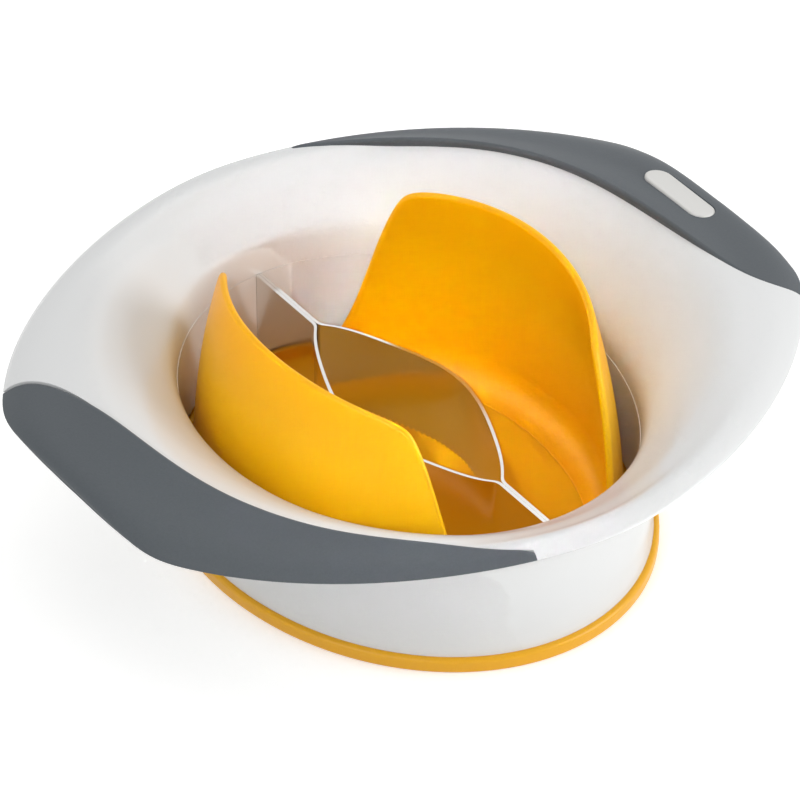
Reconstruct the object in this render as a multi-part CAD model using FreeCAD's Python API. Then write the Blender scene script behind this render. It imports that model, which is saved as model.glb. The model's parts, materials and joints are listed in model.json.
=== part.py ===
"""Mango splitter: an oval bowl with two soft grips, a two-strip blade, two fruit guides and a lift-off base.

Frame: millimetres, +Z up, origin under the middle of the base, Y along the blade, X from grip to grip.
"""
import FreeCAD
import Part
import math
import os

from FreeCAD import Vector

# Oval well: half-axes across (X) and along (Y) the blade, and the height of the seam above its sleeve
WELL_X = 48.8
WELL_Y = 60.0
SEAM_Z = 29.0
SLEEVE_WALL = 1.8
SLEEVE_BOTTOM = 5.6
SEAT_GAP = 0.05

# Bowl: foot of the skirt, rim edge and flattened grip sides
FOOT_X = 52.6
FOOT_Y = 63.9
FOOT_Z = 3.8
RIM_X = 97.5
RIM_Y = 82.0
RIM_Z = 45.5
RIM_PINCH = 0.2
PINCH_SOFT = 0.05
PINCH_FROM = 62.0
GRIP_FLAT = 90.3
FLAT_SHARPNESS = 60
RING_POINTS = 64

# Grip: where its inner edge crosses the X axis, its tail and the tongue of the bowl inside it
GRIP_INNER = 71.5
GRIP_TAIL_Y = 76.5
GRIP_CREST_Z = 51.3
GRIP_TAIL_Z = 47.6
GRIP_EDGE_ROUND = 0.8
GRIP_TAIL = ((21.5, 76.6), (29.0, 71.8))
GRIP_END = ((74.0, -22.0), (77.0, -31.5), (80.5, -36.0), (84.5, -38.6), (97.0, -44.0))
TONGUE = (66.0, 81.0, 24.0, 46.0, 47.6)

# Badge plate: a pill let into one grip
BADGE_LENGTH = 22.5
BADGE_WIDTH = 7.2
BADGE_THICK = 1.2
BADGE_PROUD = 0.3
BADGE_X = 82.8
BADGE_Y = 6.0
BADGE_Z = 49.3
BADGE_SLOPE = 12.0
BADGE_GAP = 0.05

# Blade strips: flat tabs back to back at the ends, a pit opening between them
STRIP_THICK = 0.8
STRIP_BACK = 0.02
STRIP_BEND = 1.3
STRIP_SIDE = 0.6
BLADE_TOP = 29.0
BLADE_BOTTOM = 6.5
BLADE_HALF = 61.2
PIT_HALF_LENGTH = 35.3
PIT_HALF_WIDTH = 14.2
TOOTH_PITCH = 1.5
TOOTH_DEPTH = 0.8

# Fruit guides: height, thickness and how far they lean in from the well wall
GUIDE_TOP = 60.0
GUIDE_CORNER_Z = 56.5
GUIDE_BOTTOM = 2.3
GUIDE_THICK = 1.8
GUIDE_EDGE_ROUND = 0.5
GUIDE_LEAN = ((2, 0.955), (3, 0.955), (5, 0.955), (10, 0.953), (20, 0.942), (40, 0.886), (64, 0.765))
GUIDE_SET_IN = (1.2, 1.2, 1.2, 1.2, 1.1, 0.5, 0)
GUIDE_FOOT = (6.7, 4.2, 1.8, 0.2, 0, 0, 0)
GUIDE_EDGE = ((0.0, 55.0), (11.0, 51.5), (32.0, 46.0), (46.0, 41.0))
GUIDE_CORNER_Y = 36.0
CORNER_ROUND = 6.0

# Base cover: rim band, floor and the low ring that centres it in the sleeve
COVER_X = 53.9
COVER_Y = 65.3
COVER_FLOOR = 2.2
COVER_RING_TOP = 5.2
COVER_RING_WALL = 1.0
COVER_RING_GAP = 0.4
COVER_EDGE_ROUND = 0.9


def ellipse_wire(half_x, half_y, z):
    """Closed ellipse with its long axis along Y."""
    curve = Part.Ellipse(Vector(0, half_y, z), Vector(half_x, 0, z), Vector(0, 0, z))
    return Part.Wire([curve.toShape()])


def oval_prism(half_x, half_y, bottom, top):
    """Upright oval block."""
    return Part.Face(ellipse_wire(half_x, half_y, bottom)).extrude(Vector(0, 0, top - bottom))


def oval_ring(half_x, half_y, wall, bottom, top):
    """Upright oval tube measured to its inside."""
    outside = oval_prism(half_x + wall, half_y + wall, bottom, top)
    return outside.cut(oval_prism(half_x, half_y, bottom - 1, top + 1))


def flattened(x):
    """Soft limit that turns the oval's ends into the straight sides of the grips."""
    size = abs(x)
    if size < 1:
        return x
    soft = (size ** -FLAT_SHARPNESS + GRIP_FLAT ** -FLAT_SHARPNESS) ** (-1.0 / FLAT_SHARPNESS)
    return math.copysign(soft, x)


def ring(half_x, half_y, z_grip, z_flank):
    """Closed oval at one station of the bowl, pinched near the rim; its height swings from grip to flank."""
    pinch = RIM_PINCH * max(0, half_x - PINCH_FROM) / (RIM_X - PINCH_FROM)
    points = []
    for step in range(RING_POINTS):
        angle = 2 * math.pi * step / RING_POINTS
        c, s = math.cos(angle), math.sin(angle)
        x = half_x * c * ((c * c + PINCH_SOFT) / (1 + PINCH_SOFT)) ** (pinch / 2)
        points.append(Vector(flattened(x), half_y * s, z_flank + (z_grip - z_flank) * (1 - s ** 4)))
    curve = Part.BSplineCurve()
    stations = [step / RING_POINTS for step in range(RING_POINTS + 1)]
    curve.interpolate(Points=points, PeriodicFlag=True, Parameters=stations)
    return Part.Wire([curve.toShape()])


def level_ring(half_x, half_y, z):
    return ring(half_x, half_y, z, z)


def edge_ring():
    return level_ring(RIM_X, RIM_Y, RIM_Z)


def underside_rings():
    """Skirt from its foot up to the rim edge."""
    return [
        level_ring(FOOT_X, FOOT_Y, FOOT_Z),
        level_ring(FOOT_X, FOOT_Y, 16),
        level_ring(53.2, 64.3, 27),
        ring(55.6, 66.0, 34, 33.5),
        ring(62, 69.2, 40.2, 38),
        ring(72, 73, 44.0, 41.4),
        ring(83, 77.6, 44.8, 43.6),
        ring(93.5, 81, 44.9, 44.6),
        edge_ring(),
    ]


def lip_rings():
    """Rounded lip from the foot of the flare down to the seam."""
    return [
        ring(55, 63, 39.8, 38.3),
        level_ring(51.6, 61.2, 36.6),
        level_ring(49.9, 60.5, 34),
        level_ring(49.2, 60.2, 31.5),
        level_ring(WELL_X + 0.2, WELL_Y + 0.1, SEAM_Z + SEAT_GAP),
    ]


def bowl_top():
    """White rim: edge, rolled band, crest and the broad flare inside it."""
    return [
        edge_ring(),
        ring(95.8, 81.2, 46.8, 46.2),
        ring(91.5, 77.6, 48.6, 46.9),
        ring(81.5, 74, 49.8, 45.4),
        ring(71.5, 70.2, 49.4, 43.4),
        ring(62, 66.2, 45.2, 40.6),
    ] + lip_rings()


def grip_top():
    """Grip pad: slopes down from its crest to the rim edge."""
    return [
        edge_ring(),
        ring(93.5, 81, 47.4, 46.4),
        ring(83, 79.4, 49.3, 47.1),
        ring(76.5, 78, 50.4, 47.5),
        ring(GRIP_INNER, GRIP_TAIL_Y, GRIP_CREST_Z, GRIP_TAIL_Z),
        ring(62, 70, 46.5, 42),
    ] + lip_rings()


def flat_ring_face(outer, inner):
    return Part.makeFace([outer, inner], "Part::FaceMakerBullseye")


def bowl_form(top_rings):
    """Closed solid between the skirt, the given top surface and the sleeve's bore."""
    bore_x, bore_y = WELL_X + SLEEVE_WALL + SEAT_GAP, WELL_Y + SLEEVE_WALL + SEAT_GAP
    lower = underside_rings()
    ledge_z = SEAM_Z + SEAT_GAP
    bore_low = level_ring(bore_x, bore_y, FOOT_Z)
    bore_high = level_ring(bore_x, bore_y, ledge_z)
    pieces = [
        Part.makeLoft(lower, False, False),
        Part.makeLoft(top_rings, False, False),
        Part.makeLoft([bore_low, bore_high], False, True),
        flat_ring_face(bore_high, top_rings[-1]),
        flat_ring_face(lower[0], bore_low),
    ]
    faces = [face for piece in pieces for face in piece.Faces]
    shell = Part.Compound(faces)
    shell.sewShape()
    solid = Part.Solid(shell.Shells[0])
    return solid if solid.Volume > 0 else solid.reversed()


def crest_point(angle):
    t = math.radians(angle)
    return Vector(GRIP_INNER * math.cos(t), GRIP_TAIL_Y * math.sin(t), 0)


def grip_region():
    """Plan of one grip: along the crest from the tail, then out over the rim at its rounded end."""
    inner = [Vector(x, y, 0) for x, y in GRIP_TAIL]
    inner += [crest_point(angle) for angle in (57, 40, 20)]
    inner += [Vector(GRIP_INNER, 2, 0)]
    inner += [Vector(x, y, 0) for x, y in GRIP_END]
    curve = Part.BSplineCurve()
    curve.interpolate(inner)
    reach = RIM_X + 20
    outside = [Vector(reach, inner[-1].y, 0), Vector(reach, reach, 0), Vector(inner[1].x, reach, 0)]
    corners = [inner[-1]] + outside + [inner[0]]
    edges = [curve.toShape()]
    edges += [Part.makeLine(a, b) for a, b in zip(corners, corners[1:])]
    plan = Part.Face(Part.Wire(edges))
    return plan.translated(Vector(0, 0, 20)).extrude(Vector(0, 0, 50))


def tongue():
    """Flat rib of the bowl that each grip is moulded round."""
    near, far, half, low, high = TONGUE
    block = Part.makeBox(far - near, 2 * half, high - low, Vector(near, -half, low))
    upright = [e for e in block.Edges if abs(e.tangentAt(e.FirstParameter).z) > 0.9]
    return block.makeFillet(5, [e for e in upright if e.CenterOfMass.x > near + 1])


def half_turn(shape):
    turned = shape.copy()
    turned.rotate(Vector(0, 0, 0), Vector(0, 0, 1), 180)
    return turned


def badge_pill(length, width, low, high):
    """Pill-shaped plate lying in the slope of the grip pad."""
    half, radius = (length - width) / 2, width / 2
    a, b = Vector(radius, half, 0), Vector(-radius, half, 0)
    c, d = Vector(-radius, -half, 0), Vector(radius, -half, 0)
    wire = Part.Wire([
        Part.Arc(a, Vector(0, half + radius, 0), b).toShape(),
        Part.makeLine(b, c),
        Part.Arc(c, Vector(0, -half - radius, 0), d).toShape(),
        Part.makeLine(d, a),
    ])
    plate = Part.Face(wire).extrude(Vector(0, 0, high - low))
    plate.translate(Vector(0, 0, low))
    plate.rotate(Vector(0, 0, 0), Vector(0, 1, 0), BADGE_SLOPE)
    plate.translate(Vector(BADGE_X, BADGE_Y, BADGE_Z))
    return plate


def soft_crest(grip):
    """Rounds the inner edge of a grip where it stands above the flare."""
    crest = []
    for edge in grip.Edges:
        middle = edge.valueAt((edge.FirstParameter + edge.LastParameter) / 2)
        if middle.z > GRIP_CREST_Z - 1.5 and edge.Length > BADGE_LENGTH:
            crest.append(edge)
    rounded = grip.makeFillet(GRIP_EDGE_ROUND, crest)
    rounded.fix(0.01, 0.01, 0.1)
    return rounded


def bowl_and_grips():
    """White bowl, the two grips cut from the grip form, and the badge."""
    region = grip_region()
    tongues = tongue()
    bowl = bowl_form(bowl_top())
    pad = bowl_form(grip_top()).common(region)
    pair = region.fuse(half_turn(region))
    bowl = bowl.cut(pair.cut(tongues.fuse(half_turn(tongues))))
    grip_a = soft_crest(pad.cut(tongues))
    grip_b = half_turn(grip_a)
    badge = badge_pill(BADGE_LENGTH, BADGE_WIDTH, -BADGE_THICK, BADGE_PROUD)
    bed = badge_pill(BADGE_LENGTH + 2 * BADGE_GAP, BADGE_WIDTH + 2 * BADGE_GAP, -BADGE_THICK, 5)
    return bowl, grip_a.cut(bed), grip_b, badge


def strip_line(offset):
    """Plan line of one blade strip: flat tab, S-bend, lens arc, S-bend and tab, offset from its back."""
    half, width = PIT_HALF_LENGTH, PIT_HALF_WIDTH
    tab = [Vector(offset, -BLADE_HALF, 0), Vector(offset, -half - 2, 0)]
    arc = [
        Vector(offset, -half - 2, 0),
        Vector(offset + STRIP_BEND, -half + 1, 0),
        Vector(offset + width * STRIP_SIDE, -half * STRIP_SIDE, 0),
        Vector(offset + width, 0, 0),
        Vector(offset + width * STRIP_SIDE, half * STRIP_SIDE, 0),
        Vector(offset + STRIP_BEND, half - 1, 0),
        Vector(offset, half + 2, 0),
    ]
    curve = Part.BSplineCurve()
    straight = Vector(0, 1, 0)
    curve.interpolate(Points=arc, InitialTangent=straight, FinalTangent=straight)
    end = [Vector(offset, half + 2, 0), Vector(offset, BLADE_HALF, 0)]
    return [Part.makeLine(*tab), curve.toShape(), Part.makeLine(*end)]


def strip_plan():
    """Plan face of a strip between its inner and outer lines."""
    inner = strip_line(STRIP_BACK)
    outer = strip_line(STRIP_BACK + STRIP_THICK)
    ends = [
        Part.makeLine(inner[0].Vertexes[0].Point, outer[0].Vertexes[0].Point),
        Part.makeLine(inner[-1].Vertexes[-1].Point, outer[-1].Vertexes[-1].Point),
    ]
    return Part.Face(Part.Wire(Part.__sortEdges__(inner + outer + ends)))


def teeth():
    """Row of notches that leaves a saw edge along the bottom of the pit opening."""
    count = int(2 * PIT_HALF_LENGTH / TOOTH_PITCH)
    start = -count * TOOTH_PITCH / 2
    points = [Vector(-1, start, BLADE_BOTTOM - 1)]
    for index in range(count):
        y = start + index * TOOTH_PITCH
        points.append(Vector(-1, y, BLADE_BOTTOM))
        points.append(Vector(-1, y + TOOTH_PITCH / 2, BLADE_BOTTOM + TOOTH_DEPTH))
    points.append(Vector(-1, -start, BLADE_BOTTOM))
    points.append(Vector(-1, -start, BLADE_BOTTOM - 1))
    points.append(points[0])
    face = Part.Face(Part.makePolygon(points))
    return face.extrude(Vector(PIT_HALF_WIDTH + 4, 0, 0))


def blade_strip():
    plan = strip_plan()
    strip = plan.extrude(Vector(0, 0, BLADE_TOP - BLADE_BOTTOM))
    strip.translate(Vector(0, 0, BLADE_BOTTOM))
    return strip.cut(teeth())


def sleeve():
    """Oval ring under the seam, slotted for the blade tabs."""
    ring_body = oval_ring(WELL_X, WELL_Y, SLEEVE_WALL, SLEEVE_BOTTOM, SEAM_Z)
    slot_width = 2 * (STRIP_THICK + STRIP_BACK + SEAT_GAP)
    depth = BLADE_TOP - BLADE_BOTTOM + 2
    slot = Part.makeBox(slot_width, 2 * (BLADE_HALF + SEAT_GAP), depth,
                        Vector(-slot_width / 2, -BLADE_HALF - SEAT_GAP, BLADE_BOTTOM - SEAT_GAP))
    return ring_body.cut(slot)


def lean_block(inset, spread):
    """Oval form that leans in towards the top, set in all round and by a spread in X at each level."""
    rings = []
    for (z, scale), foot in zip(GUIDE_LEAN, spread):
        rings.append(ellipse_wire(WELL_X * scale - inset - foot, WELL_Y * scale - inset, z))
    return Part.makeLoft(rings, True, False)


def guide_side():
    """Bell outline of a guide seen along X, as a thick prism on the +X side."""
    right = [Vector(0, y, z) for z, y in GUIDE_EDGE] + [Vector(0, GUIDE_CORNER_Y, GUIDE_CORNER_Z)]
    left = [Vector(0, -p.y, p.z) for p in reversed(right)]
    up, down = Part.BSplineCurve(), Part.BSplineCurve()
    up.interpolate(right)
    down.interpolate(left)
    crown = Part.Arc(right[-1], Vector(0, 0, GUIDE_TOP), left[0]).toShape()
    foot = Part.makeLine(left[-1], right[0])
    plan = Part.Face(Part.Wire([up.toShape(), crown, down.toShape(), foot]))
    prism = plan.extrude(Vector(70, 0, 0))
    corners = [e for e in prism.Edges if abs(e.tangentAt(e.FirstParameter).x) > 0.9]
    return prism.makeFillet(CORNER_ROUND, [e for e in corners if e.CenterOfMass.z > GUIDE_CORNER_Z - 1])


def guide():
    """Curved flap that leans in over the well and spreads into a foot on the floor of the base."""
    foot = [set_in + reach for set_in, reach in zip(GUIDE_SET_IN, GUIDE_FOOT)]
    wall = lean_block(0, GUIDE_SET_IN).cut(lean_block(GUIDE_THICK, foot))
    flap = wall.common(guide_side())
    below = Part.makeBox(200, 200, 20, Vector(-100, -100, GUIDE_BOTTOM - 20))
    flap = flap.cut(below)
    rising = [e for e in flap.Edges if e.BoundBox.ZLength > GUIDE_EDGE_ROUND]
    return flap.makeFillet(GUIDE_EDGE_ROUND, [e for e in rising if e.BoundBox.ZMax > SLEEVE_BOTTOM])


def base_cover():
    """Shallow yellow cover: rim band, floor and centring ring."""
    plate = oval_prism(COVER_X, COVER_Y, 0, FOOT_Z - SEAT_GAP)
    rim_edges = [e for e in plate.Edges if e.BoundBox.ZLength < 0.01]
    plate = plate.makeFillet(COVER_EDGE_ROUND, rim_edges)
    ring_x = WELL_X - COVER_RING_GAP - COVER_RING_WALL
    ring_y = WELL_Y - COVER_RING_GAP - COVER_RING_WALL
    plate = plate.cut(oval_prism(ring_x, ring_y, COVER_FLOOR, COVER_RING_TOP))
    centring = oval_ring(ring_x, ring_y, COVER_RING_WALL, COVER_FLOOR, COVER_RING_TOP)
    return plate.fuse(centring).removeSplitter()


def main():
    os.makedirs("parts", exist_ok=True)
    bowl, grip_a, grip_b, badge = bowl_and_grips()
    strip = blade_strip()
    flap = guide()
    nodes = {
        "base_cover": base_cover(),
        "bowl_body": bowl,
        "blade_sleeve": sleeve(),
        "blade_strip_right": strip,
        "blade_strip_left": half_turn(strip),
        "fruit_guide_right": flap,
        "fruit_guide_left": half_turn(flap),
        "grip_right": grip_a,
        "grip_left": grip_b,
        "badge_plate": badge,
    }
    for name, shape in nodes.items():
        print(name, len(shape.Solids), shape.isValid(), round(shape.Volume))
        shape.exportStep("parts/" + name + ".step")


main()
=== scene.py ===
"""Looks of a mango splitter: rounded guides and badge, finishes for every piece, soft stage and camera."""
import json
import math

import bpy
import numpy as np
from bpy.props import FloatProperty, FloatVectorProperty, PointerProperty
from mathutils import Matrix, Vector

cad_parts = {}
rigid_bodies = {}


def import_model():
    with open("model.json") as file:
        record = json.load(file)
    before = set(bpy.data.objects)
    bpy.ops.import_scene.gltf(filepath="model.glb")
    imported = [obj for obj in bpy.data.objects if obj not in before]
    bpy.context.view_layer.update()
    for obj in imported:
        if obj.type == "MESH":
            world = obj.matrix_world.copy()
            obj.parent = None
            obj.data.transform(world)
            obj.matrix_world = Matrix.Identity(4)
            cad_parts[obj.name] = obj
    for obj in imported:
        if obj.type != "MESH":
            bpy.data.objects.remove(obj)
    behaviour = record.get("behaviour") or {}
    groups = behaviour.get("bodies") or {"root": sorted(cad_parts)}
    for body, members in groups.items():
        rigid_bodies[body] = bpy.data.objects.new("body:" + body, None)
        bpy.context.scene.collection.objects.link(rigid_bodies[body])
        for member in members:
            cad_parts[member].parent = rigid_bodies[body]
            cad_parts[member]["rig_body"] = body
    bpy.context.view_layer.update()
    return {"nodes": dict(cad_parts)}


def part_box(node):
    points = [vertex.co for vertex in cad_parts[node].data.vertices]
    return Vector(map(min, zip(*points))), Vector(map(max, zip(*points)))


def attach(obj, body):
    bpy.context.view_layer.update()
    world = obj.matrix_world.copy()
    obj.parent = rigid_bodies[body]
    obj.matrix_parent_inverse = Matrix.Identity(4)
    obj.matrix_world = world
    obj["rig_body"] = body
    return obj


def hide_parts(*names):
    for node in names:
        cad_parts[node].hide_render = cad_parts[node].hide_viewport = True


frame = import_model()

bl_info = {
    "name": "Mango Splitter Looks",
    "version": (1, 1, 0),
    "blender": (4, 5, 0),
    "location": "View3D > Sidebar > Splitter",
    "description": "Shapes and finishes the bowl, grips, blade, guides and base of a mango splitter",
    "category": "Object",
}

MM = 0.001

# Guide wall, in millimetres: half length of its oval, and how it leans in towards the crown
OVAL_HALF = 57.3
LEAN_ACROSS = 0.178
LEAN_ALONG = 0.199
LEAN_FROM = 5.0
LEAN_SPAN = 59.0
LEAN_POWER = 1.95

# Guide outline, in millimetres: heights and half breadths of the bell, its crown and the fade of the foot
BELL_SIDE = ((0.0, 55.0), (11.0, 51.5), (32.0, 46.0), (46.0, 41.0), (56.5, 36.0))
BELL_DEGREE = 3
CROWN_HALF = 36.0
CROWN_RISE = 3.5
CROWN_DROP = 0.03
TOP_TRIM = 0.002
CORNER_POWER = 10
FOOT_FADE = 6.0
GUIDE_ROWS = 150
GUIDE_COLUMNS = 81
HALF_TURN = np.array([-1, -1, 1])

# Heights in millimetres between which a guide's colour (a painted shade, darker lower down) and share of
# light let through change, and that share
SHADED_BELOW = 8.0
THICK_BELOW = 30.0
THIN_ABOVE = 62.0
GUIDE_THROUGH = 0.5

# Badge, in millimetres: pill width, depth of the plate and slope of the pad under it
BADGE_WIDTH = 7.2
BADGE_DEPTH = 1.5
BADGE_SLOPE = math.radians(12.0)
BADGE_COLUMNS = 96
BADGE_ROWS = 10
TURN_NUDGE = 1e-6

# Finishes: roughness of plastics and steel, then sizes of patterns and depth of bumps in millimetres
BOWL_ROUGHNESS = 0.24
GUIDE_ROUGHNESS = 0.3
BASE_ROUGHNESS = 0.32
FLOW_VARIATION = 0.03
STEEL_ROUGHNESS = (0.1, 0.2)
FLOW_SIZE = 18.0
PEEL_SIZE = 1.6
GRAIN_SIZE = 0.5
ROLLING_SIZE = 0.25
ROLLING_STRETCH = (1.0, 0.02, 1.0)
PLATE_SIZE = 0.4
BUMP_DEPTH = 0.1

# Sockets of the colour mix node
MIX_LOW, MIX_HIGH, MIX_RESULT = 6, 7, 2

# Stage, in metres; a lamp has a name, place, aim, size, spread in degrees and the property with its power
FLOOR_SIZE = 8.0
FLOOR_LIFT = 0.4
LAMPS = (
    ("top_softbox", (-0.1, 0.15, 1.35), (0, 0, 0.02), 1.1, 180.0, "top_power"),
    ("side_softbox", (0.88, -1.0, 0.46), (0, 0, 0.03), 0.9, 180.0, "side_power"),
    ("left_softbox", (-1.05, -0.3, 0.8), (0, 0, 0.03), 0.9, 180.0, "left_power"),
    ("back_softbox", (1.0, 0.5, 1.1), (0, 0, 0.03), 1.0, 180.0, "back_power"),
    ("well_fill", (-0.62, -0.78, 0.86), (0.012, 0.008, 0.03), 0.08, 4.0, "fill_power"),
)

# Camera: image width in pixels, sensor width in millimetres and farthest distance in metres
FRAME_PIXELS = 800
SENSOR_WIDTH = 36
CLIP_END = 50


def linear(code):
    """sRGB hex colour as linear red, green, blue and alpha."""
    channels = [int(code[i:i + 2], 16) / 255 for i in (1, 3, 5)]
    curve = [c / 12.92 if c <= 0.04045 else ((c + 0.055) / 1.055) ** 2.4 for c in channels]
    return (*curve, 1.0)


def add(tree, kind, links=(), **settings):
    """One node: settings name its attributes or inputs, links are (input, output socket) pairs."""
    node = tree.nodes.new(kind)
    for name, value in settings.items():
        if hasattr(node, name):
            setattr(node, name, value)
        else:
            node.inputs[name.replace("_", " ")].default_value = value
    for socket, source in links:
        tree.links.new(source, node.inputs[socket])
    return node


def new_material(name):
    """Empty node material with its output; returns the material, its tree and the output."""
    material = bpy.data.materials.new(name)
    material.use_nodes = True
    tree = material.node_tree
    tree.nodes.clear()
    return material, tree, tree.nodes.new("ShaderNodeOutputMaterial")


def shader(tree, output, **inputs):
    """Principled shader with constants on its own sockets; returns it and the Object coordinates."""
    bsdf = add(tree, "ShaderNodeBsdfPrincipled", **inputs)
    tree.links.new(bsdf.outputs[0], output.inputs["Surface"])
    return bsdf, add(tree, "ShaderNodeTexCoord").outputs["Object"]


def noise(tree, place, size, detail):
    """Noise on Object coordinates whose features are about this many millimetres."""
    pattern = add(tree, "ShaderNodeTexNoise", [("Vector", place)], Scale=1 / (size * MM), Detail=detail)
    return pattern.outputs["Fac"]


def set_roughness(tree, bsdf, pattern, low, high):
    """Roughness that follows a pattern between two values."""
    gloss = add(tree, "ShaderNodeMapRange", [("Value", pattern)], To_Min=low, To_Max=high)
    tree.links.new(gloss.outputs["Result"], bsdf.inputs["Roughness"])


def set_bump(tree, bsdf, pattern, strength):
    """Fine relief that follows a pattern."""
    bump = add(tree, "ShaderNodeBump", [("Height", pattern)], Strength=strength, Distance=BUMP_DEPTH * MM)
    tree.links.new(bump.outputs["Normal"], bsdf.inputs["Normal"])


def set_colour(tree, bsdf, pattern, low, high):
    """Base colour that follows a pattern between two colours; returns the colour's socket."""
    tone = add(tree, "ShaderNodeMix", [("Factor", pattern)], data_type="RGBA")
    tone.inputs[MIX_LOW].default_value = low
    tone.inputs[MIX_HIGH].default_value = high
    tree.links.new(tone.outputs[MIX_RESULT], bsdf.inputs["Base Color"])
    return tone.outputs[MIX_RESULT]


def seen_directly(tree):
    """One where the camera sees a thing itself, in a mirror or through glass, otherwise zero."""
    path = tree.nodes.new("ShaderNodeLightPath").outputs
    seen = path["Is Camera Ray"]
    for kind in ("Is Glossy Ray", "Is Transmission Ray"):
        seen = add(tree, "ShaderNodeMath", [(0, seen), (1, path[kind])], operation="MAXIMUM").outputs[0]
    return seen


def moulded_plastic(name, colour, roughness, through=0.0, shaded=None):
    """Injection-moulded plastic: even colour, faint flow variation in gloss and a slight orange peel.

    A thin wall lets the given share of light through to its other side. Towards its thick foot it lets
    less through. Lower down its colour turns to the shaded one: painted shade, darker towards the bottom of
    the well.
    """
    material, tree, output = new_material(name)
    bsdf, place = shader(tree, output, Base_Color=colour, IOR=1.49)
    if through:
        height = add(tree, "ShaderNodeSeparateXYZ", [("Vector", place)]).outputs["Z"]
        share = add(tree, "ShaderNodeMapRange", [("Value", height)], To_Max=through,
                    From_Min=THICK_BELOW * MM, From_Max=THIN_ABOVE * MM)
        # Painted shade: the colour runs from the shaded one low down to the lighter one high up, darker
        # towards the bottom of the well
        thin = add(tree, "ShaderNodeMapRange", [("Value", height)],
                   From_Min=SHADED_BELOW * MM, From_Max=THIN_ABOVE * MM)
        tone = set_colour(tree, bsdf, thin.outputs["Result"], shaded, colour)
        veil = add(tree, "ShaderNodeBsdfTranslucent", [("Color", tone)])
        wall = add(tree, "ShaderNodeMixShader",
                   [(0, share.outputs["Result"]), (1, bsdf.outputs[0]), (2, veil.outputs[0])])
        tree.links.new(wall.outputs[0], output.inputs["Surface"])
    flow = noise(tree, place, FLOW_SIZE, detail=2.0)
    set_roughness(tree, bsdf, flow, roughness - FLOW_VARIATION, roughness + FLOW_VARIATION)
    set_bump(tree, bsdf, noise(tree, place, PEEL_SIZE, detail=1.0), strength=0.04)
    return material


def soft_elastomer(name, colour, shade):
    """Moulded elastomer with a spark-eroded matte grain, drawn large enough to show."""
    material, tree, output = new_material(name)
    bsdf, place = shader(tree, output, Roughness=0.62, IOR=1.5, Sheen_Weight=0.12, Sheen_Roughness=0.5)
    grain = noise(tree, place, GRAIN_SIZE, detail=3.0)
    set_colour(tree, bsdf, grain, shade, colour)
    set_bump(tree, bsdf, grain, strength=0.22)
    return material


def polished_strip_steel(name, colour):
    """Polished stainless strip: mirror-like with faint rolling lines along the strip."""
    material, tree, output = new_material(name)
    bsdf, place = shader(tree, output, Base_Color=colour, Metallic=1.0)
    drawn = add(tree, "ShaderNodeMapping", [("Vector", place)], Scale=ROLLING_STRETCH).outputs["Vector"]
    lines = noise(tree, drawn, ROLLING_SIZE, detail=2.0)
    set_roughness(tree, bsdf, lines, *STEEL_ROUGHNESS)
    set_bump(tree, bsdf, lines, strength=0.03)
    return material


def satin_plate(name, colour):
    """Satin plate with a fine grain."""
    material, tree, output = new_material(name)
    bsdf, place = shader(tree, output, Base_Color=colour, Roughness=0.38, IOR=1.5, Metallic=0.15)
    set_bump(tree, bsdf, noise(tree, place, PLATE_SIZE, detail=2.0), strength=0.06)
    return material


def pale_floor(name, colour):
    """Matte floor that keeps its shadow; what the camera sees of it is lifted towards white."""
    material, tree, output = new_material(name)
    matte = add(tree, "ShaderNodeBsdfDiffuse", Color=colour)
    level = add(tree, "ShaderNodeMath", [(0, seen_directly(tree))], operation="MULTIPLY")
    level.inputs[1].default_value = FLOOR_LIFT
    glow = add(tree, "ShaderNodeEmission", [("Strength", level.outputs[0])])
    both = add(tree, "ShaderNodeAddShader", [(0, matte.outputs[0]), (1, glow.outputs[0])])
    tree.links.new(both.outputs[0], output.inputs["Surface"])
    return material


def paint(material, *nodes):
    """Gives CAD nodes one finish."""
    for node in nodes:
        mesh = frame["nodes"][node].data
        mesh.materials.clear()
        mesh.materials.append(material)


def loop_piece(name, rings, material, node):
    """Smooth closed piece in place of a CAD node, from rings of (count, points, 3) in millimetres."""
    count, size = rings.shape[:2]
    ring, point = np.meshgrid(np.arange(count - 1), np.arange(size), indexing="ij")
    here, beside = ring * size + point, ring * size + (point + 1) % size
    quads = np.stack([here, beside, beside + size, here + size], -1).reshape(-1, 4)
    first, last = np.arange(size)[::-1], np.arange(size) + (count - 1) * size
    mesh = bpy.data.meshes.new(name)
    mesh.from_pydata(rings.reshape(-1, 3) * MM, [], quads.tolist() + [first.tolist(), last.tolist()])
    mesh.polygons.foreach_set("use_smooth", np.ones(len(mesh.polygons), bool))
    mesh.materials.append(material)
    mesh.update()
    piece = bpy.data.objects.new(name, mesh)
    bpy.context.scene.collection.objects.link(piece)
    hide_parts(node)
    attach(piece, frame["nodes"][node]["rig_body"])


def box_mm(node):
    """Lowest and highest corner of a CAD node in millimetres."""
    low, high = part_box(node)
    return np.array(low) / MM, np.array(high) / MM


def bell_half_breadth(z, top):
    """Half breadth of a guide at height z: a cubic side and a parabolic crown joined by a soft minimum.

    w = (s^-p + c^-p)^(-1/p), s being the side, c = CROWN_HALF sqrt((top - z) / CROWN_RISE) and
    p = CORNER_POWER.
    """
    heights, breadths = np.array(BELL_SIDE).T
    side = np.polyval(np.polyfit(heights, breadths, BELL_DEGREE), z)
    crown = CROWN_HALF * np.sqrt((top - z) / CROWN_RISE)
    return (side ** -CORNER_POWER + crown ** -CORNER_POWER) ** (-1 / CORNER_POWER)


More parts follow.
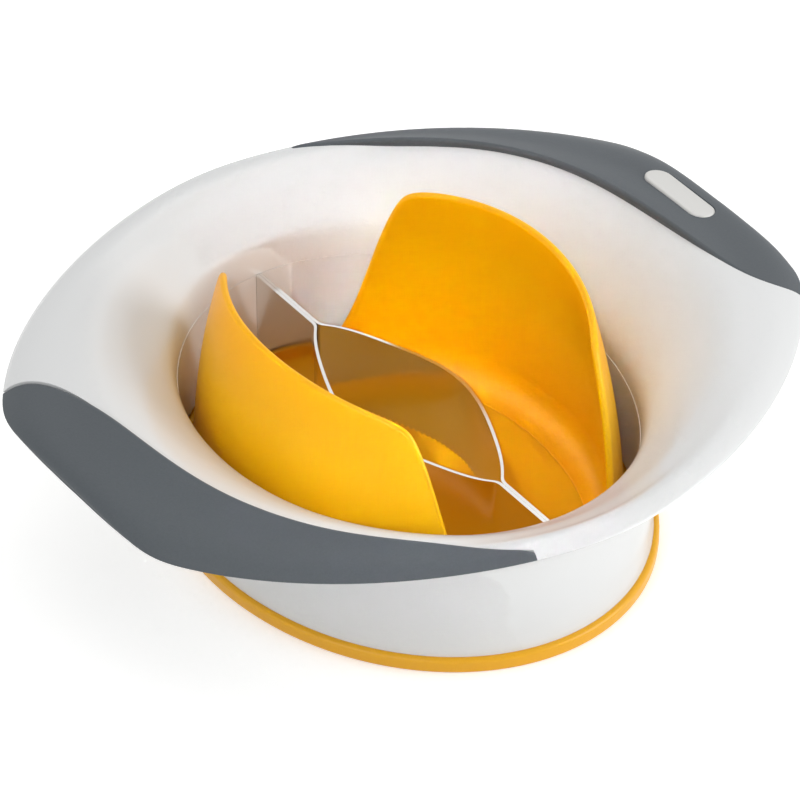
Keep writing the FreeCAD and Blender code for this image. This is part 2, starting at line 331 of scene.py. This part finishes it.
def guide_rings(thick, foot_round):
    """Rings of a leaning oval slab with half-round edges and a hollow foot, sizes in millimetres.

    The middle surface is x = a(z) sqrt(1 - (y / b(z))^2), where a shrinks by LEAN_ACROSS t^LEAN_POWER
    and b by LEAN_ALONG t^LEAN_POWER with t = (z - LEAN_FROM) / LEAN_SPAN. Its two sides lie at
    h = r sqrt(1 - (1 - e / r)^2) along the normal, r being half the thickness and e the distance to the
    outline up to r: (w - |y|) / sqrt(1 + w'^2), or the drop below the crown where that is less. The foot
    is a hollow of radius foot_round that runs out along the floor.
    """
    r = thick / 2
    low, high = box_mm("fruit_guide_right")
    top = high[2] - CROWN_DROP
    rise = (1 - np.cos(np.linspace(0, math.pi, GUIDE_ROWS))) / 2
    level = low[2] + (top - TOP_TRIM - low[2]) * rise
    breadth = bell_half_breadth(level, top)
    slant = np.sqrt(1 + np.gradient(breadth, level) ** 2)[:, None]
    z = level[:, None] * np.ones(GUIDE_COLUMNS)
    y = breadth[:, None] * np.sin(np.linspace(-math.pi / 2, math.pi / 2, GUIDE_COLUMNS))
    below_crown = top - CROWN_RISE * (y / CROWN_HALF) ** 2 - z
    edge = np.maximum(np.minimum((breadth[:, None] - np.abs(y)) / slant, below_crown), 0)
    t = np.maximum(z - LEAN_FROM, 0) / LEAN_SPAN
    lean, lean_rate = t ** LEAN_POWER, LEAN_POWER * t ** (LEAN_POWER - 1) / LEAN_SPAN
    a = high[0] * (1 - LEAN_ACROSS * lean) - r
    b = OVAL_HALF * (1 - LEAN_ALONG * lean) - r
    root = np.sqrt(1 - (y / b) ** 2)
    slope_y = -a * y / (b ** 2 * root)
    slope_z = -high[0] * LEAN_ACROSS * lean_rate * root
    slope_z -= OVAL_HALF * LEAN_ALONG * lean_rate * a * y ** 2 / (b ** 3 * root)
    normal = np.stack([np.ones_like(y), -slope_y, -slope_z], -1)
    normal /= np.linalg.norm(normal, axis=-1, keepdims=True)
    half = r * np.sqrt(1 - (1 - np.minimum(edge / r, 1)) ** 2)
    middle = np.stack([a * root, y, z], -1)
    outside = middle + normal * half[..., None]
    inside = middle - normal * half[..., None]
    drop = np.maximum(foot_round - (z - low[2]), 0)
    foot = foot_round - np.sqrt(foot_round ** 2 - drop ** 2)
    inside[..., 0] -= foot * np.minimum(edge / FOOT_FADE, 1)
    return np.concatenate([outside, inside[:, -2:0:-1]], axis=1)


def badge_rings(shoulder):
    """Rings of a pill with a straight wall, a quarter-round shoulder and a flat top, tilted with the pad.

    A ring at inset d from the pill outline lies r - sqrt(r^2 - (r - d)^2) below the top, r being the
    shoulder. The nudge keeps a point of the round ends off the change of side.
    """
    low, high = box_mm("badge_plate")
    turn = np.linspace(0, 2 * math.pi, BADGE_COLUMNS, endpoint=False)
    inset = shoulder * (1 - np.cos(np.linspace(0, math.pi / 2, BADGE_ROWS)))
    inset = np.concatenate([[0], inset])[:, None]
    drop = shoulder - np.sqrt(shoulder ** 2 - (shoulder - inset) ** 2)
    drop[0] = BADGE_DEPTH
    radius = BADGE_WIDTH / 2 - inset
    half = (high[1] - low[1] - BADGE_WIDTH) / 2
    x = radius * np.cos(turn)
    y = radius * np.sin(turn) + half * np.sign(np.sin(turn + TURN_NUDGE))
    z = BADGE_DEPTH / 2 - drop + 0 * x
    c, s = math.cos(BADGE_SLOPE), math.sin(BADGE_SLOPE)
    return np.stack([c * x + s * z, y, c * z - s * x], -1) + (low + high) / 2


def length_property(name, description, size):
    """Length that a user may change, from its size in millimetres."""
    return FloatProperty(name=name, description=description, unit="LENGTH", default=size * MM, precision=4)


def colour_property(name, description, code):
    """Colour that a user may change, from its sRGB hex value."""
    return FloatVectorProperty(name=name, description=description, subtype="COLOR", size=4, min=0, max=1,
                               default=linear(code))


def power_property(name, lamp, power):
    """Power of a lamp in watts that a user may change."""
    return FloatProperty(name=name, description=f"Power of the {lamp} in watts", default=power)


class SPLITTER_PG_looks(bpy.types.PropertyGroup):
    """Sizes, colours, light and camera that a user may change."""

    guide_wall: length_property("Guide wall", "Thickness of a fruit guide", 1.8)
    guide_foot: length_property("Guide foot", "Radius of the hollow at the foot of a guide", 7.5)
    badge_shoulder: length_property("Badge shoulder", "Rounding of the badge's edge", 0.5)
    bowl_colour: colour_property("Bowl", "White of the bowl and the blade sleeve", "#E4E5E5")
    # The guides' amber is the first colour high up; the second is a painted shade that darkens them towards
    # the bottom of the well
    guide_colour: colour_property("Guides", "Amber of the fruit guides where they are thin", "#FFD400")
    guide_shaded: colour_property("Guides, deep", "Amber of the fruit guides at their thick foot", "#FFB400")
    base_colour: colour_property("Base", "Yellow of the base cover", "#F2B00E")
    steel_colour: colour_property("Blade", "Tint of the polished strips", "#E4E3E0")
    grip_colour: colour_property("Grips", "Grey of the grips", "#4E5459")
    grip_shade: colour_property("Grip grain", "Darker grey in the grain of the grips", "#454B50")
    badge_colour: colour_property("Badge", "Grey of the bare plate", "#D6D5D2")
    floor_colour: colour_property("Floor", "Pale floor", "#F4F4F3")
    azimuth: FloatProperty(name="Azimuth", description="Camera turn about the part", default=-35.6)
    elevation: FloatProperty(name="Elevation", description="Camera height angle", default=38.0)
    distance: FloatProperty(name="Distance", description="Camera to the part", default=1.278, unit="LENGTH")
    pixels_per_mm: FloatProperty(name="Scale", description="Image pixels for one millimetre", default=4.31)
    origin_pixel: FloatVectorProperty(name="Origin", description="Pixel of the part's origin", size=2,
                                      default=(407.2, 500.0))
    sky: FloatProperty(name="Sky", description="Light from the surroundings", default=0.46)
    top_power: power_property("Top", "top soft box", 3.3)
    side_power: power_property("Side", "side soft box", 9.6)
    left_power: power_property("Left", "left soft box", 4.0)
    back_power: power_property("Back", "back soft box", 1.5)
    fill_power: power_property("Fill", "lamp into the well", 0.016)


class SPLITTER_OT_bowl(bpy.types.Operator):
    """Finish the bowl and the blade sleeve."""

    bl_idname = "splitter.bowl"
    bl_label = "Bowl"

    def execute(self, context):
        looks = context.scene.splitter_looks
        white = moulded_plastic("gloss_white_abs", looks.bowl_colour, BOWL_ROUGHNESS)
        paint(white, "bowl_body", "blade_sleeve")
        return {"FINISHED"}


class SPLITTER_OT_guides(bpy.types.Operator):
    """Shape and finish the two fruit guides."""

    bl_idname = "splitter.guides"
    bl_label = "Fruit guides"

    def execute(self, context):
        looks = context.scene.splitter_looks
        amber = moulded_plastic("amber_polypropylene", looks.guide_colour, GUIDE_ROUGHNESS,
                                GUIDE_THROUGH, looks.guide_shaded)
        rings = guide_rings(looks.guide_wall / MM, looks.guide_foot / MM)
        loop_piece("guide_flap_right", rings, amber, "fruit_guide_right")
        loop_piece("guide_flap_left", rings * HALF_TURN, amber, "fruit_guide_left")
        return {"FINISHED"}


class SPLITTER_OT_base(bpy.types.Operator):
    """Finish the base cover."""

    bl_idname = "splitter.base"
    bl_label = "Base cover"

    def execute(self, context):
        looks = context.scene.splitter_looks
        paint(moulded_plastic("yellow_polypropylene", looks.base_colour, BASE_ROUGHNESS), "base_cover")
        return {"FINISHED"}


class SPLITTER_OT_blade(bpy.types.Operator):
    """Finish the blade strips."""

    bl_idname = "splitter.blade"
    bl_label = "Blade strips"

    def execute(self, context):
        looks = context.scene.splitter_looks
        steel = polished_strip_steel("polished_stainless_strip", looks.steel_colour)
        paint(steel, "blade_strip_right", "blade_strip_left")
        return {"FINISHED"}


class SPLITTER_OT_grips(bpy.types.Operator):
    """Finish the grips and shape the badge."""

    bl_idname = "splitter.grips"
    bl_label = "Grips"

    def execute(self, context):
        looks = context.scene.splitter_looks
        grey = soft_elastomer("soft_touch_elastomer", looks.grip_colour, looks.grip_shade)
        paint(grey, "grip_right", "grip_left")
        plate = satin_plate("satin_badge_plate", looks.badge_colour)
        loop_piece("badge_pill", badge_rings(looks.badge_shoulder / MM), plate, "badge_plate")
        return {"FINISHED"}


def area_lamp(name, place, aim, size, spread, power):
    """Square soft box that points at a place, with a grid in front of it where the spread is small."""
    data = bpy.data.lights.new(name, "AREA")
    data.size = size
    data.energy = power
    data.spread = math.radians(spread)
    lamp = bpy.data.objects.new(name, data)
    lamp.location = place
    lamp.rotation_mode = "QUATERNION"
    lamp.rotation_quaternion = (Vector(aim) - Vector(place)).to_track_quat("-Z", "Y")
    bpy.context.scene.collection.objects.link(lamp)


def studio_world(strength):
    """White world for the camera and reflections, dimmer for the light it throws."""
    world = bpy.data.worlds.new("studio")
    world.use_nodes = True
    tree = world.node_tree
    tree.nodes.clear()
    output = tree.nodes.new("ShaderNodeOutputWorld")
    lit = add(tree, "ShaderNodeMapRange", [("Value", seen_directly(tree))], To_Min=strength, To_Max=1.0)
    sky = add(tree, "ShaderNodeBackground", [("Strength", lit.outputs["Result"])], Color=(1, 1, 1, 1))
    tree.links.new(sky.outputs[0], output.inputs["Surface"])
    bpy.context.scene.world = world


def place_camera(looks):
    """Long-lens camera set so that the part's origin falls on its pixel."""
    a, e = math.radians(looks.azimuth), math.radians(looks.elevation)
    back = Vector((math.sin(a) * math.cos(e), -math.cos(a) * math.cos(e), math.sin(e)))
    right = Vector((math.cos(a), math.sin(a), 0))
    up = back.cross(right)
    half = FRAME_PIXELS / 2
    across = (looks.origin_pixel[0] - half) / looks.pixels_per_mm * MM
    down = (looks.origin_pixel[1] - half) / looks.pixels_per_mm * MM
    target = up * down - right * across
    data = bpy.data.cameras.new("camera")
    data.sensor_width = SENSOR_WIDTH
    data.lens = looks.pixels_per_mm / MM * looks.distance / FRAME_PIXELS * data.sensor_width
    data.clip_end = CLIP_END
    camera = bpy.data.objects.new("camera", data)
    camera.location = target + back * looks.distance
    camera.rotation_mode = "QUATERNION"
    camera.rotation_quaternion = back.to_track_quat("Z", "Y")
    bpy.context.scene.collection.objects.link(camera)
    bpy.context.scene.camera = camera


class SPLITTER_OT_stage(bpy.types.Operator):
    """Floor, soft light, white world and camera."""

    bl_idname = "splitter.stage"
    bl_label = "Stage"

    def execute(self, context):
        looks = context.scene.splitter_looks
        bpy.ops.mesh.primitive_plane_add(size=FLOOR_SIZE)
        floor = context.object
        floor.name = "floor"
        floor.data.materials.append(pale_floor("pale_floor", looks.floor_colour))
        for name, place, aim, size, spread, power in LAMPS:
            area_lamp(name, place, aim, size, spread, getattr(looks, power))
        studio_world(looks.sky)
        place_camera(looks)
        context.scene.view_settings.view_transform = "Standard"
        return {"FINISHED"}


class SPLITTER_PT_panel(bpy.types.Panel):
    """Sidebar list of the pieces and the stage."""

    bl_idname = "SPLITTER_PT_panel"
    bl_label = "Mango splitter"
    bl_space_type = "VIEW_3D"
    bl_region_type = "UI"
    bl_category = "Splitter"

    def draw(self, context):
        for operator in OPERATORS:
            self.layout.operator(operator.bl_idname)


OPERATORS = (SPLITTER_OT_bowl, SPLITTER_OT_guides, SPLITTER_OT_base, SPLITTER_OT_blade, SPLITTER_OT_grips,
             SPLITTER_OT_stage)
CLASSES = (SPLITTER_PG_looks, *OPERATORS, SPLITTER_PT_panel)


def register():
    for cls in CLASSES:
        bpy.utils.register_class(cls)
    bpy.types.Scene.splitter_looks = PointerProperty(type=SPLITTER_PG_looks)


def unregister():
    del bpy.types.Scene.splitter_looks
    for cls in reversed(CLASSES):
        bpy.utils.unregister_class(cls)


def main():
    register()
    bpy.ops.splitter.bowl()
    bpy.ops.splitter.guides()
    bpy.ops.splitter.base()
    bpy.ops.splitter.blade()
    bpy.ops.splitter.grips()
    bpy.ops.splitter.stage()


if __name__ == "__main__":
    main()
